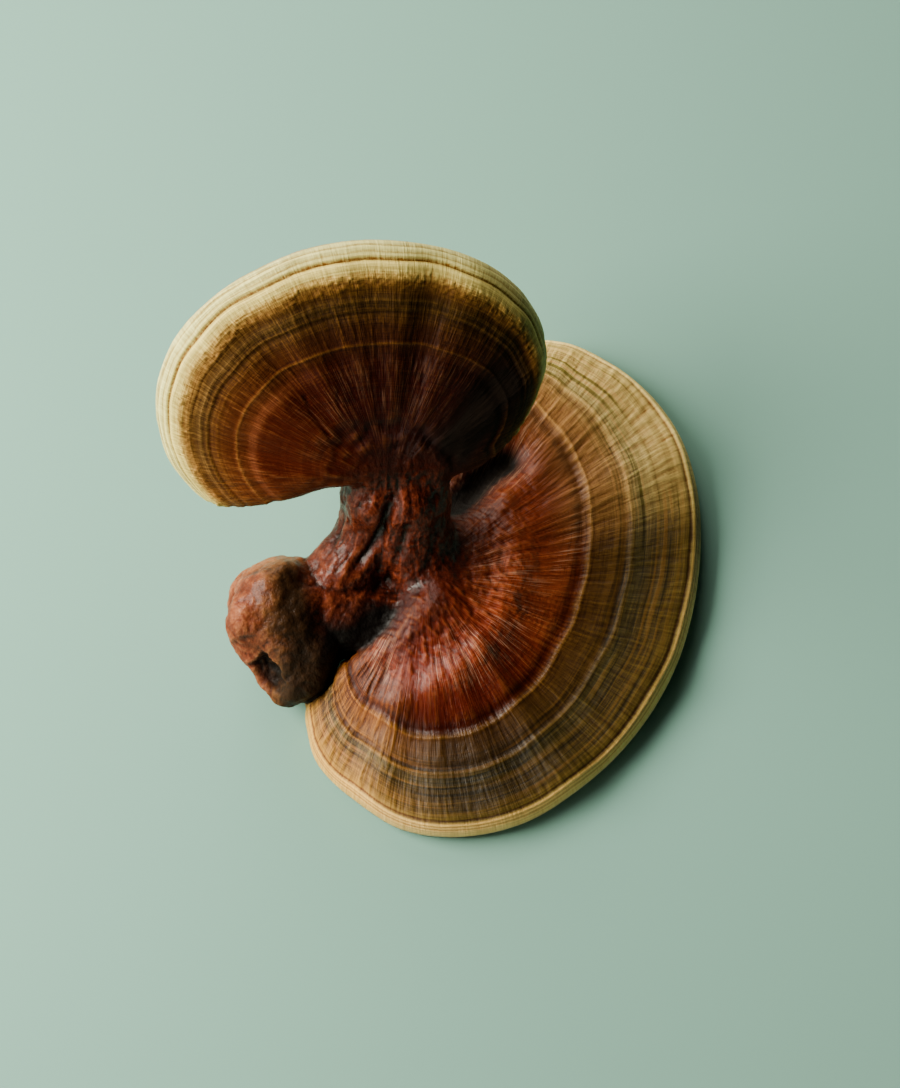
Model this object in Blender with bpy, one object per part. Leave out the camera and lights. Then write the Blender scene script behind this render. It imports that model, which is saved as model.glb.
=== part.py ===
"""Reishi mushroom, picked and lying on the underside of its lower cap.

A torn knob at the left carries a short stem, which forks. One fork spreads into a
kidney-shaped lower cap that lies flat. The other climbs as a neck into a fan-shaped
upper cap that leans back above the lower one. Both caps have a rounded pale rim,
growth ledges that run along the rim, and radial folds.

Shapes are worked out in millimetres and made in metres, +Z up. The origin is under
the middle of the mushroom, on the surface that it lies on.
"""
import math

import bmesh
import bpy
import numpy as np
from mathutils import Matrix, Vector

MM = 0.001
GAP = 0.3                       # clearance between pieces that grew together
MIDDLE = (-0.42, 0.05)          # middle of the mushroom's box, in the plan below

# Lower cap: flat on the ground, seen from above.
LOWER_CENTRE = (-3.5, -6.6)     # the point its growth lines spread from
LOWER_HUB = (8.0, -17.5)        # a point that sees the whole outline
LOWER_MARGIN = (                # bearing from the centre, reach, share of it at the pale ring
    (-139, 35.5, 0.66), (-132, 39.5, 0.66), (-123, 44.0, 0.66), (-111, 47.3, 0.65),
    (-96, 52.0, 0.635), (-80, 54.2, 0.625), (-62, 54.8, 0.61), (-38, 55.3, 0.587),
    (-15, 58.0, 0.575), (7, 62.7, 0.58), (26, 69.5, 0.60), (42, 74.2, 0.635),
    (57, 74.7, 0.69), (67, 72.5, 0.74), (74, 68.0, 0.76), (80, 60.6, 0.78),
)
LOWER_SINUS = (                 # the notch that the stem grows out of, far lobe to near lobe
    (2.4, 43.0), (0.7, 31.0), (-0.6, 19.5), (-1.8, 9.9), (-4.4, 2.6), (-7.6, -3.4),
    (-10.0, -9.0), (-13.0, -14.2), (-16.8, -17.4), (-21.4, -20.2), (-26.2, -24.2),
)
LOWER_HEIGHTS = (               # growth share, height of the top above the ground
    (0.0, 18.0), (0.2, 18.0), (0.34, 17.2), (0.48, 15.0), (0.63, 12.2), (0.76, 10.2),
    (0.88, 8.6), (0.95, 7.6), (1.0, 6.6),
)
LOWER_LEDGES = ((0.63, 0.8, 0.035), (0.77, 0.9, 0.035), (0.885, 0.7, 0.03))   # at, rise, width
LIP = ((-24.0, -26.0), (-16.5, -22.6), (-9.6, -19.6), (-4.0, -13.2), (-0.4, -6.0),
       (-0.2, 2.5), (0.8, 11.0))
LIP_RISE = 3.2
LIP_WIDTH = 3.2
CREST = ((-21.0, -28.6), (-12.0, -33.0), (-1.6, -30.4), (5.8, -25.0), (12.0, -16.0),
         (16.0, -4.0), (16.6, 4.0), (14.0, 13.0))
CREST_RISE = 2.2
CREST_WIDTH = 4.0

# Upper cap: a fan that leans back, drawn in its own plane, whose origin is at the neck.
UPPER_PLACE = (-12.1, 14.5, 33.9)
UPPER_LEAN = 49.4               # degrees, back from level
UPPER_ROLL = 11.5               # degrees, down towards the right
UPPER_CENTRE = (-2.0, 3.0)
UPPER_HUB = (-5.0, 17.0)
UPPER_MARGIN = (
    (16, 33.0, 0.74), (28, 41.3, 0.72), (40, 46.6, 0.69), (53, 49.6, 0.66), (68, 51.1, 0.635),
    (88, 52.0, 0.625), (105, 53.3, 0.63), (122, 54.2, 0.645), (138, 55.0, 0.655),
    (150, 53.7, 0.666), (160, 51.0, 0.67), (170, 47.3, 0.67), (178, 43.4, 0.67), (186, 39.0, 0.67),
)
UPPER_SINUS = (
    (-37.0, -2.8), (-32.0, -3.2), (-26.5, -2.0), (-21.0, -0.4), (-15.5, 1.2), (-9.5, 1.4),
    (-3.0, 0.8), (4.0, 0.4), (10.0, 0.4), (15.5, 1.4), (21.0, 3.8), (25.6, 7.4),
)
UPPER_HEIGHTS = (
    (0.0, 13.6), (0.2, 13.4), (0.4, 13.0), (0.63, 12.0), (0.76, 10.9), (0.86, 9.6),
    (0.94, 8.1), (1.0, 6.2),
)
UPPER_LEDGES = ((0.63, 0.6, 0.035), (0.77, 0.7, 0.035), (0.89, 1.2, 0.03))

# Both caps.
RING_SHARE = 0.63               # growth share given to the pale ring of either cap
RIM_LEVEL = 0.42                # share of a cap's thickness at which its rim is widest
UNDER_RISE = 1.4                # the pore surface is hollowed this much near the stem
UNDER_REACH = 40.0              # and this far out
EDGE_INSETS = (0.0, 0.6, 1.9, 3.8)
TOP_ROWS = (0.93, 0.86, 0.79, 0.72, 0.64, 0.55, 0.45, 0.34, 0.22, 0.10)
UNDER_ROWS = (0.80, 0.52, 0.26)
LOWER_COLUMNS = 90
UPPER_COLUMNS = 76
FOLDS = ((13, 0.4, 0.30), (21, 2.1, 0.24), (9, 4.4, 0.26))   # waves a turn, phase, height

# Stem: five limbs, each a run of round sections (x, y, z, radius).
KNOB = (
    (-35.5, -30.8, 7.0, 2.2), (-34.7, -28.0, 8.2, 6.4), (-33.5, -22.9, 10.2, 9.8),
    (-33.6, -16.9, 12.0, 12.3), (-34.8, -11.4, 13.2, 13.8), (-34.5, -6.0, 13.6, 12.2),
    (-34.0, -1.8, 13.8, 8.2), (-33.9, 0.4, 13.8, 3.2),
)
STIPE = (
    (-34.0, -9.0, 13.6, 6.0), (-28.5, -9.6, 13.8, 9.6), (-22.9, -10.6, 13.0, 9.8),
    (-17.6, -11.0, 11.8, 9.2), (-12.5, -9.6, 10.8, 8.4), (-9.1, -8.3, 10.0, 5.5),
)
LEFT_STRAND = (
    (-27.4, -6.7, 14.0, 5.5), (-22.2, -3.5, 17.5, 6.6), (-17.6, 1.4, 22.6, 6.8),
    (-15.3, 5.9, 29.5, 6.6), (-14.8, 7.6, 35.6, 6.7), (-14.6, 12.2, 41.6, 4.8),
)
RIGHT_STRAND = (
    (-2.8, -5.1, 10.0, 5.5), (-4.2, -2.0, 15.5, 8.4), (-6.6, 2.2, 22.4, 9.0),
    (-6.6, 6.2, 29.4, 8.4), (-6.0, 8.6, 35.0, 8.0), (-5.4, 13.6, 40.6, 5.0),
)
BACK_STRAND = (
    (-13.0, -4.0, 9.6, 6.0), (-12.0, 1.6, 15.0, 9.0), (-12.0, 5.6, 22.4, 9.2),
    (-11.4, 9.2, 29.4, 8.6), (-11.0, 12.4, 35.4, 8.2), (-10.6, 16.0, 39.4, 4.8),
)
KNOB_RINGS = 20
KNOB_SIDES = 26
LIMB_RINGS = 11
LIMB_SIDES = 18
LUMPS = ((2, 0.7, 0.9, 0.050), (3, 2.6, 1.7, 0.035), (5, 1.1, 2.9, 0.022))
PRESSED = (                     # dents in the knob: place, radius, depth
    ((-46.6, -11.6, 19.0), 3.2, 1.5),
    ((-39.4, -25.1, 15.0), 4.4, 3.2),
    ((-35.5, -29.4, 12.0), 3.0, 1.6),
)


def smooth_lookup(wanted, stations):
    """Value on the smooth curve through the stations, a list of (place, value)."""
    places, values = np.array(stations, float).T
    slopes = np.gradient(values, places)
    wanted = np.clip(wanted, places[0], places[-1])
    left = np.clip(np.searchsorted(places, wanted) - 1, 0, len(places) - 2)
    width = places[left + 1] - places[left]
    share = (wanted - places[left]) / width
    from_left = values[left] + slopes[left] * width * share
    from_right = values[left + 1] - slopes[left + 1] * width * (1 - share)
    blend = share * share * (3 - 2 * share)
    return from_left * (1 - blend) + from_right * blend


def curve_through(points, count, closed):
    """Evenly spaced points along the smooth curve through the given ones."""
    knots = np.array(points, float)
    if closed:
        before, after, beyond = (np.roll(knots, shift, axis=0) for shift in (1, -1, -2))
    else:
        padded = np.vstack((2 * knots[0] - knots[1], knots, 2 * knots[-1] - knots[-2]))
        before, knots, after, beyond = padded[:-3], padded[1:-2], padded[2:-1], padded[3:]
    step = np.linspace(0, 1, 16, endpoint=False)[:, None, None]
    fine = 0.5 * (2 * knots + (after - before) * step
                  + (2 * before - 5 * knots + 4 * after - beyond) * step ** 2
                  + (3 * knots - before - 3 * after + beyond) * step ** 3)
    fine = fine.transpose(1, 0, 2).reshape(-1, knots.shape[1])
    fine = np.vstack((fine, fine[:1] if closed else after[-1:]))
    along = np.concatenate(([0], np.cumsum(np.linalg.norm(np.diff(fine, axis=0)[:, :3], axis=1))))
    wanted = np.linspace(0, along[-1], count, endpoint=not closed)
    return np.stack([np.interp(wanted, along, column) for column in fine.T], axis=1)


def distance_to(places, line, closed):
    """Distance from each place to the nearest stretch of a line of points."""
    ends = np.roll(line, -1, axis=0) if closed else line[1:]
    starts = line if closed else line[:-1]
    run = ends - starts
    offset = places[:, None] - starts[None]
    share = np.clip((offset * run).sum(-1) / (run * run).sum(-1), 0, 1)
    return np.linalg.norm(offset - share[..., None] * run, axis=-1).min(axis=1)


def polar(centre, bearing, reach):
    """Point at a bearing in degrees and a reach from the centre."""
    angle = math.radians(bearing)
    return (centre[0] + reach * math.cos(angle), centre[1] + reach * math.sin(angle))


def growth_share(places, centre, margin):
    """How far each place lies from the growth centre (0) to the margin (1), and its bearing."""
    offset = places - np.array(centre)
    middle = 0.5 * (margin[0][0] + margin[-1][0])
    bearing = np.degrees(np.arctan2(offset[:, 1], offset[:, 0]))
    bearing = (bearing - middle + 180) % 360 - 180 + middle
    reach = smooth_lookup(bearing, [(station[0], station[1]) for station in margin])
    at_ring = smooth_lookup(bearing, [(station[0], station[2]) for station in margin])
    power = math.log(RING_SHARE) / np.log(at_ring)
    return (np.hypot(*offset.T) / reach) ** power, np.radians(bearing)


def relief(share, bearing, ledges):
    """Growth ledges and radial folds of a cap's top."""
    height = sum(rise * np.exp(-((share - at) / width) ** 2) for at, rise, width in ledges)
    wave = sum(rise * np.sin(turns * bearing + phase) for turns, phase, rise in FOLDS)
    spread = np.clip((share - 0.15) / 0.45, 0, 1)
    return height + wave * spread * spread * (3 - 2 * spread)


def ridge(places, line, rise, width):
    """Height of a soft ridge that runs along a line."""
    route = curve_through(line, 40, closed=False)
    return rise * np.exp(-(distance_to(places, route, closed=False) / width) ** 2)


def rounded(depth, radius):
    """Share of a quarter-round edge reached at a depth inside the outline."""
    inside = 1 - np.clip(depth / radius, 0, 1)
    return np.sqrt(1 - inside * inside)


def lower_full_height(places):
    """Height of the lower cap's top before its edge is rounded."""
    share, bearing = growth_share(places, LOWER_CENTRE, LOWER_MARGIN)
    height = smooth_lookup(share, LOWER_HEIGHTS) + relief(share, bearing, LOWER_LEDGES)
    height += ridge(places, LIP, LIP_RISE, LIP_WIDTH)
    return height + ridge(places, CREST, CREST_RISE, CREST_WIDTH)


def upper_full_height(places):
    """Height of the upper cap's top over its own plane before its edge is rounded."""
    share, bearing = growth_share(places, UPPER_CENTRE, UPPER_MARGIN)
    return smooth_lookup(share, UPPER_HEIGHTS) + relief(share, bearing, UPPER_LEDGES)


def cap_rings(outline, hub, full_height, centre):
    """Rings from the middle of a cap's underside, round its rim, to the middle of its top."""
    along = np.roll(outline, -1, axis=0) - np.roll(outline, 1, axis=0)
    inward = np.stack((-along[:, 1], along[:, 0]), axis=1)
    inward /= np.linalg.norm(inward, axis=1)[:, None]
    edge = [outline + inward * inset for inset in EDGE_INSETS]
    inner = edge[-1] - hub

    def ring(flat, on_top):
        height = full_height(flat)
        widest = RIM_LEVEL * height
        depth = distance_to(flat, outline, closed=True)
        if on_top:
            curve = rounded(depth, np.clip(0.5 * height, 3.0, 9.0))
            return np.column_stack((flat, widest + (height - widest) * curve))
        near = np.clip(1 - np.linalg.norm(flat - centre, axis=1) / UNDER_REACH, 0, 1)
        curve = rounded(depth, np.clip(0.4 * height, 2.4, 4.5))
        hollow = UNDER_RISE * near ** 2 * np.clip(depth / 4, 0, 1)
        return np.column_stack((flat, widest * (1 - curve) + hollow))

    under = [ring(hub + inner * share, False) for share in reversed(UNDER_ROWS)]
    under += [ring(flat, False) for flat in reversed(edge[1:])]
    top = [ring(flat, True) for flat in edge]
    top += [ring(hub + inner * share, True) for share in TOP_ROWS]
    return under + top


def limb_rings(sections, count, sides):
    """Rings round a limb: its sections joined smoothly, and lumpy as it grew."""
    stations = curve_through(sections, count, closed=False)
    spine = stations[:, :3]
    heading = np.gradient(spine, axis=0)
    heading /= np.linalg.norm(heading, axis=1)[:, None]
    across = np.cross(heading[0], (0, 0, 1))
    rings = []
    turn = np.linspace(0, 2 * math.pi, sides, endpoint=False)
    for index, centre in enumerate(spine):
        across -= heading[index] * (across @ heading[index])
        across /= np.linalg.norm(across)
        up = np.cross(across, heading[index])
        far = 0.25 * index
        swell = 1 + sum(size * np.sin(waves * turn + phase + far * drift)
                        for waves, phase, drift, size in LUMPS)
        radius = (stations[index, 3] * swell)[:, None]
        rings.append(centre + radius * (np.cos(turn)[:, None] * across + np.sin(turn)[:, None] * up))
    return rings


def next_ring(bm, ring, places):
    """Extrude a ring of vertices and set the new one at the given places."""
    edges = [bm.edges.get((vert, ring[index - 1])) for index, vert in enumerate(ring)]
    made = bmesh.ops.extrude_edge_only(bm, edges=edges)["geom"]
    fresh = {item for item in made if isinstance(item, bmesh.types.BMVert)}
    grown = [next(edge.other_vert(vert) for edge in vert.link_edges if edge.other_vert(vert) in fresh)
             for vert in ring]
    for vert, place in zip(grown, places):
        vert.co = Vector(place) * MM
    return grown


def close_end(bm, ring):
    """Fill a ring with a fan of faces round its middle."""
    edges = [bm.edges.get((vert, ring[index - 1])) for index, vert in enumerate(ring)]
    face = bmesh.ops.edgeloop_fill(bm, edges=edges)["faces"]
    bmesh.ops.poke(bm, faces=face)


def skin(name, rings, material):
    """Closed solid through a run of rings."""
    bm = bmesh.new()
    first = bmesh.ops.create_circle(bm, segments=len(rings[0]), radius=MM)["verts"]
    for vert, place in zip(first, rings[0]):
        vert.co = Vector(place) * MM
    last = first
    for places in rings[1:]:
        last = next_ring(bm, last, places)
    close_end(bm, first)
    close_end(bm, last)
    bmesh.ops.recalc_face_normals(bm, faces=bm.faces)
    mesh = bpy.data.meshes.new(name)
    bm.to_mesh(mesh)
    bm.free()
    mesh.materials.append(material)
    piece = bpy.data.objects.new(name, mesh)
    bpy.context.scene.collection.objects.link(piece)
    return piece


def crust(name, colour, roughness):
    """Material of a crust, more lacquered where its roughness is low."""
    material = bpy.data.materials.new(name)
    material.use_nodes = True
    shader = material.node_tree.nodes["Principled BSDF"]
    shader.inputs["Base Color"].default_value = (*colour, 1)
    shader.inputs["Roughness"].default_value = roughness
    shader.inputs["Metallic"].default_value = 0.0
    material.diffuse_color = (*colour, 1)
    return material


def combine(piece, other, operation):
    """Join a second solid to a piece, or cut it away, and keep the result in the piece."""
    step = piece.modifiers.new(operation.lower(), "BOOLEAN")
    step.operation = operation
    step.solver = "EXACT"
    step.object = other
    bpy.context.view_layer.update()
    depsgraph = bpy.context.evaluated_depsgraph_get()
    mesh = bpy.data.meshes.new_from_object(piece.evaluated_get(depsgraph))
    piece.modifiers.clear()
    piece.data = mesh


def swollen(piece):
    """Copy of a piece whose skin stands proud by the clearance, used as a cutter."""
    cutter = piece.copy()
    cutter.data = piece.data.copy()
    cutter.name = piece.name + "_cutter"
    bm = bmesh.new()
    bm.from_mesh(cutter.data)
    bm.normal_update()
    for vert in bm.verts:
        vert.co += vert.normal * GAP * MM
    bm.to_mesh(cutter.data)
    bm.free()
    bpy.context.scene.collection.objects.link(cutter)
    cutter.hide_render = True
    cutter.display_type = "WIRE"
    return cutter


def cut_away(piece, neighbour):
    """Cut a neighbour out of a piece, with the clearance between them."""
    cutter = swollen(neighbour)
    combine(piece, cutter, "DIFFERENCE")
    bpy.data.objects.remove(cutter)


def make_cap(name, centre, margin, sinus, hub, full_height, columns, material):
    """One cap, flat on its own ground plane."""
    corners = [polar(centre, bearing, reach) for bearing, reach, at_ring in margin]
    outline = curve_through(corners + list(sinus), columns, closed=True)
    rings = cap_rings(outline, np.array(hub), full_height, np.array(centre))
    return skin(name, rings, material)


def make_limb(name, sections, count, sides, material):
    """One limb of the stem."""
    rings = limb_rings(sections, count, sides)
    for place, radius, depth in PRESSED:
        for index, ring in enumerate(rings):
            middle = ring.mean(axis=0)
            pull = depth * np.exp(-(np.linalg.norm(ring - place, axis=1) / radius) ** 2)
            inward = (middle - ring) / np.linalg.norm(middle - ring, axis=1)[:, None]
            rings[index] = ring + inward * pull[:, None]
    for ring in rings:
        ring[:, 2] = np.maximum(ring[:, 2], 0)
    return skin(name, rings, material)


def make_stem(material):
    """Torn knob and stipe, fused with the three strands of the neck."""
    stem = make_limb("stem", KNOB, KNOB_RINGS, KNOB_SIDES, material)
    for sections in (STIPE, LEFT_STRAND, RIGHT_STRAND, BACK_STRAND):
        limb = make_limb("limb", sections, LIMB_RINGS, LIMB_SIDES, material)
        combine(stem, limb, "UNION")
        bpy.data.objects.remove(limb)
    return stem


def make_mushroom():
    """The three pieces, cut clear of each other and set over the origin."""
    for old in list(bpy.data.objects):
        bpy.data.objects.remove(old)
    lower = make_cap("lower_cap", LOWER_CENTRE, LOWER_MARGIN, LOWER_SINUS, LOWER_HUB,
                     lower_full_height, LOWER_COLUMNS, crust("lower_crust", (0.42, 0.19, 0.07), 0.4))
    upper = make_cap("upper_cap", UPPER_CENTRE, UPPER_MARGIN, UPPER_SINUS, UPPER_HUB,
                     upper_full_height, UPPER_COLUMNS, crust("upper_crust", (0.45, 0.27, 0.11), 0.6))
    lean = Matrix.Rotation(math.radians(UPPER_LEAN), 4, "X")
    roll = Matrix.Rotation(math.radians(UPPER_ROLL), 4, "Y")
    upper.matrix_world = Matrix.Translation(Vector(UPPER_PLACE) * MM) @ lean @ roll
    stem = make_stem(crust("stem_crust", (0.16, 0.045, 0.02), 0.3))
    cut_away(stem, upper)
    cut_away(lower, stem)
    to_middle = Matrix.Translation((-MIDDLE[0] * MM, -MIDDLE[1] * MM, 0))
    for piece in (stem, upper, lower):
        piece.matrix_world = to_middle @ piece.matrix_world
        piece.data.shade_smooth()
        piece.data.set_sharp_from_angle(angle=math.radians(50))


make_mushroom()
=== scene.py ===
import math

import bpy
import numpy as np
from mathutils import Matrix, Vector
from mathutils.bvhtree import BVHTree


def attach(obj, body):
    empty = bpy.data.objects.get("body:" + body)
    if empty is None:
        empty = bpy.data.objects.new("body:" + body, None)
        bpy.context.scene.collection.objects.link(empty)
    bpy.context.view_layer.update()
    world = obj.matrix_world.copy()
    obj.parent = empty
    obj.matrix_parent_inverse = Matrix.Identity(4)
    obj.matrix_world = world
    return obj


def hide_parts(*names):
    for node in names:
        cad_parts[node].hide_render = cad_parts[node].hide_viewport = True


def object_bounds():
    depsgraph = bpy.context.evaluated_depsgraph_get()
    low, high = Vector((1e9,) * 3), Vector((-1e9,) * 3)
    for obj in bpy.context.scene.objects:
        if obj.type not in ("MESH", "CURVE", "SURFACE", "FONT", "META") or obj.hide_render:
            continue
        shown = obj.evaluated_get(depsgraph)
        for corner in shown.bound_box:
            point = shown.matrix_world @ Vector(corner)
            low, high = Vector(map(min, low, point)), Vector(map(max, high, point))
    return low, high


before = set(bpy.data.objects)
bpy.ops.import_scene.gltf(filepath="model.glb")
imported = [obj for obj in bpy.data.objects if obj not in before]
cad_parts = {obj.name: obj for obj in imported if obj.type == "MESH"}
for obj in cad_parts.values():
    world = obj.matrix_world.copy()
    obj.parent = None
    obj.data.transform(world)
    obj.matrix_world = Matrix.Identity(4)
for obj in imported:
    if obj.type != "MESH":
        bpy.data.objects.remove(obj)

cad_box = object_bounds()


# Flesh of the lower cap
# A kidney-shaped bracket of corky flesh, flat below, that grew outward from the notch where
# the stipe meets it. Its outline, lip and crest are drawn in plan, in millimetres, and a
# sphere is drawn out over them, ring by ring.
MM = 0.001
MIDDLE = np.array((-0.42, 0.05, 0.0))     # middle of the mushroom's box in the plan
LOWER_CENTRE = (-3.5, -6.6)               # the point the growth lines spread from
LOWER_HUB = (8.0, -17.5)                  # a point that sees the whole outline
LOWER_MARGIN = (                          # bearing from the centre, reach, share of it at the pale ring
    (-139, 35.5, 0.66), (-132, 39.5, 0.66), (-123, 44.0, 0.66), (-111, 47.3, 0.65),
    (-96, 52.0, 0.635), (-80, 54.2, 0.625), (-62, 54.8, 0.61), (-38, 55.3, 0.587),
    (-15, 58.0, 0.575), (7, 62.7, 0.58), (26, 69.5, 0.60), (42, 74.2, 0.635),
    (57, 74.7, 0.69), (67, 72.5, 0.74), (74, 68.0, 0.76), (80, 60.6, 0.78),
)
LOWER_SINUS = (                           # the notch, from the far lobe to the near one
    (2.4, 43.0), (0.7, 31.0), (-0.6, 19.5), (-1.8, 9.9), (-4.4, 2.6), (-7.6, -3.4),
    (-10.0, -9.0), (-13.0, -14.2), (-16.8, -17.4), (-21.4, -20.2), (-26.2, -24.2),
)
LOWER_HEIGHTS = (                         # growth share, height of the top above the ground
    (0.0, 20.0), (0.2, 19.4), (0.34, 17.8), (0.48, 15.3), (0.63, 12.3), (0.76, 10.2),
    (0.88, 8.6), (0.95, 7.6), (1.0, 6.6),
)
LIP = ((-24.0, -26.0), (-16.5, -22.6), (-9.6, -19.6), (-4.4, -14.0))
LIP_RISE = 2.2
LIP_WIDTH = 3.2
CREST = ((-21.0, -28.6), (-12.0, -33.0), (-1.6, -30.4), (5.8, -25.0), (12.0, -16.0),
         (16.0, -4.0), (16.6, 4.0), (14.0, 13.0))
CREST_RISE = 1.2
CREST_WIDTH = 4.0
FLARE = ((-3.0, -7.5), (-1.5, 0.0), (-1.0, 5.0))   # here the cap's flesh climbs the neck
FLARE_RISE = 4.5
FLARE_WIDTH = 9.0
RECESS = ((3.0, 13.0), (6.5, 16.5), (10.0, 21.0), (14.5, 25.0))  # and here it sinks behind it
RECESS_DEPTH = 6.3
RECESS_WIDTH = 4.8
RING_SHARE = 0.63                         # growth share given to the pale ring of either cap
RIM_LEVEL = 0.42                          # share of a cap's thickness at which its rim is widest
UNDER_RISE = 1.4                          # the pore surface is hollowed this much near the stem
UNDER_REACH = 40.0                        # and this far out
FOLDS = ((13, 0.4, 0.30), (21, 2.1, 0.24), (9, 4.4, 0.26))   # waves a turn, phase, height
CAP_COLUMNS = 360
EDGE_INSETS = (0.0, 0.3, 0.7, 1.2, 1.9, 2.8, 3.8)
EDGE_POWER = 2.6                          # roundness of the edge: 2 is a circle, more is squarer
TOP_RADIUS = (3.0, 9.0)                   # least and largest radius of the edge above the rim
UNDER_RADIUS = (2.4, 4.5)                 # and below it


def smooth_lookup(wanted, stations):
    """Value on the smooth curve through the stations, a list of (place, value)."""
    places, values = np.array(stations, float).T
    slopes = np.gradient(values, places)
    wanted = np.clip(wanted, places[0], places[-1])
    left = np.clip(np.searchsorted(places, wanted) - 1, 0, len(places) - 2)
    width = places[left + 1] - places[left]
    share = (wanted - places[left]) / width
    from_left = values[left] + slopes[left] * width * share
    from_right = values[left + 1] - slopes[left + 1] * width * (1 - share)
    blend = share * share * (3 - 2 * share)
    return from_left * (1 - blend) + from_right * blend


def curve_through(points, count, closed):
    """Evenly spaced points along the smooth curve through the given ones."""
    knots = np.array(points, float)
    if closed:
        before, after, beyond = (np.roll(knots, shift, axis=0) for shift in (1, -1, -2))
    else:
        padded = np.vstack((2 * knots[0] - knots[1], knots, 2 * knots[-1] - knots[-2]))
        before, knots, after, beyond = padded[:-3], padded[1:-2], padded[2:-1], padded[3:]
    step = np.linspace(0, 1, 16, endpoint=False)[:, None, None]
    fine = 0.5 * (2 * knots + (after - before) * step
                  + (2 * before - 5 * knots + 4 * after - beyond) * step ** 2
                  + (3 * knots - before - 3 * after + beyond) * step ** 3)
    fine = fine.transpose(1, 0, 2).reshape(-1, knots.shape[1])
    fine = np.vstack((fine, fine[:1] if closed else after[-1:]))
    along = np.concatenate(([0], np.cumsum(np.linalg.norm(np.diff(fine, axis=0)[:, :3], axis=1))))
    wanted = np.linspace(0, along[-1], count, endpoint=not closed)
    return np.stack([np.interp(wanted, along, column) for column in fine.T], axis=1)


def distance_to(places, line, closed):
    """Distance from each place to the nearest stretch of a line of points."""
    ends = np.roll(line, -1, axis=0) if closed else line[1:]
    starts = line if closed else line[:-1]
    nearest = np.full(len(places), np.inf)
    for start, run in zip(starts, ends - starts):
        offset = places - start
        share = np.clip(offset @ run / (run @ run), 0, 1)
        nearest = np.minimum(nearest, ((offset - share[:, None] * run) ** 2).sum(axis=1))
    return np.sqrt(nearest)


def growth_share(places, centre, margin):
    """How far each place lies from the growth centre (0) to the margin (1), and its bearing."""
    offset = places - np.array(centre)
    middle = 0.5 * (margin[0][0] + margin[-1][0])
    bearing = np.degrees(np.arctan2(offset[:, 1], offset[:, 0]))
    bearing = (bearing - middle + 180) % 360 - 180 + middle
    reach = smooth_lookup(bearing, [(station[0], station[1]) for station in margin])
    at_ring = smooth_lookup(bearing, [(station[0], station[2]) for station in margin])
    power = math.log(RING_SHARE) / np.log(at_ring)
    return (np.hypot(*offset.T) / reach) ** power, np.radians(bearing)


def soft_step(values, low, high):
    """0 below the low value, 1 above the high one, and smooth between."""
    share = np.clip((values - low) / (high - low), 0, 1)
    return share * share * (3 - 2 * share)


def folded(share, bearing):
    """Height of the broad radial folds of a cap."""
    wave = sum(rise * np.sin(turns * bearing + phase) for turns, phase, rise in FOLDS)
    return wave * soft_step(share, 0.15, 0.60)


def bump(values, at, width):
    """A soft bump, 1 high, at a value."""
    return np.exp(-((values - at) / width) ** 2)


def from_curve(places, line, count):
    """Distance from each place to the smooth curve through a few points."""
    return distance_to(places, curve_through(line, count, closed=False), closed=False)


def ridge(places, line, rise, width):
    """Height of a soft ridge that runs along a line."""
    return rise * bump(from_curve(places, line, 40), 0, width)


def rounded(depth, radius):
    """Share of a quarter-round edge reached at a depth inside the outline."""
    inside = 1 - np.clip(depth / radius, 0, 1)
    return (1 - inside ** EDGE_POWER) ** (1 / EDGE_POWER)


def lower_full_height(places):
    """Height of the lower cap's top before its edge is rounded."""
    share, bearing = growth_share(places, LOWER_CENTRE, LOWER_MARGIN)
    height = smooth_lookup(share, LOWER_HEIGHTS) + folded(share, bearing)
    height += ridge(places, LIP, LIP_RISE, LIP_WIDTH)
    height += ridge(places, CREST, CREST_RISE, CREST_WIDTH)
    height += ridge(places, FLARE, FLARE_RISE, FLARE_WIDTH)
    return height - ridge(places, RECESS, RECESS_DEPTH, RECESS_WIDTH)


def cap_rings(outline, hub, full_height, centre):
    """Rings from the middle of a cap's underside, round its rim, to the middle of its top."""
    along = np.roll(outline, -1, axis=0) - np.roll(outline, 1, axis=0)
    inward = np.stack((-along[:, 1], along[:, 0]), axis=1)
    inward /= np.linalg.norm(inward, axis=1)[:, None]
    edge = [outline + inward * inset for inset in EDGE_INSETS]
    inner = edge[-1] - hub

    def ring(flat, on_top):
        height = full_height(flat)
        widest = RIM_LEVEL * height
        depth = distance_to(flat, outline, closed=True)
        if on_top:
            curve = rounded(depth, np.clip(0.5 * height, *TOP_RADIUS))
            return np.column_stack((flat, widest + (height - widest) * curve))
        near = np.clip(1 - np.linalg.norm(flat - centre, axis=1) / UNDER_REACH, 0, 1)
        curve = rounded(depth, np.clip(0.4 * height, *UNDER_RADIUS))
        hollow = UNDER_RISE * near ** 2 * np.clip(depth / 4, 0, 1)
        return np.column_stack((flat, widest * (1 - curve) + hollow))

    under = [ring(hub + inner * share, False) for share in np.linspace(0.04, 0.96, 20)]
    under += [ring(flat, False) for flat in reversed(edge[1:])]
    top = [ring(flat, True) for flat in edge]
    top += [ring(hub + inner * share, True) for share in np.linspace(0.985, 0.015, 56)]
    return under + top


def cap_outline(centre, margin, sinus):
    """The edge of a cap in plan."""
    corners = [(centre[0] + reach * math.cos(math.radians(bearing)),
                centre[1] + reach * math.sin(math.radians(bearing)))
               for bearing, reach, at_ring in margin]
    return curve_through(corners + list(sinus), CAP_COLUMNS, closed=True)


def rows_of(items, name):
    """A property of many items, three numbers a row."""
    flat = np.empty(3 * len(items), np.float32)
    items.foreach_get(name, flat)
    return flat.reshape(-1, 3)


def places_of(piece):
    """The places of a piece's vertices, in millimetres of the plan."""
    return rows_of(piece.data.vertices, "co").astype(float) / MM + MIDDLE


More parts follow.
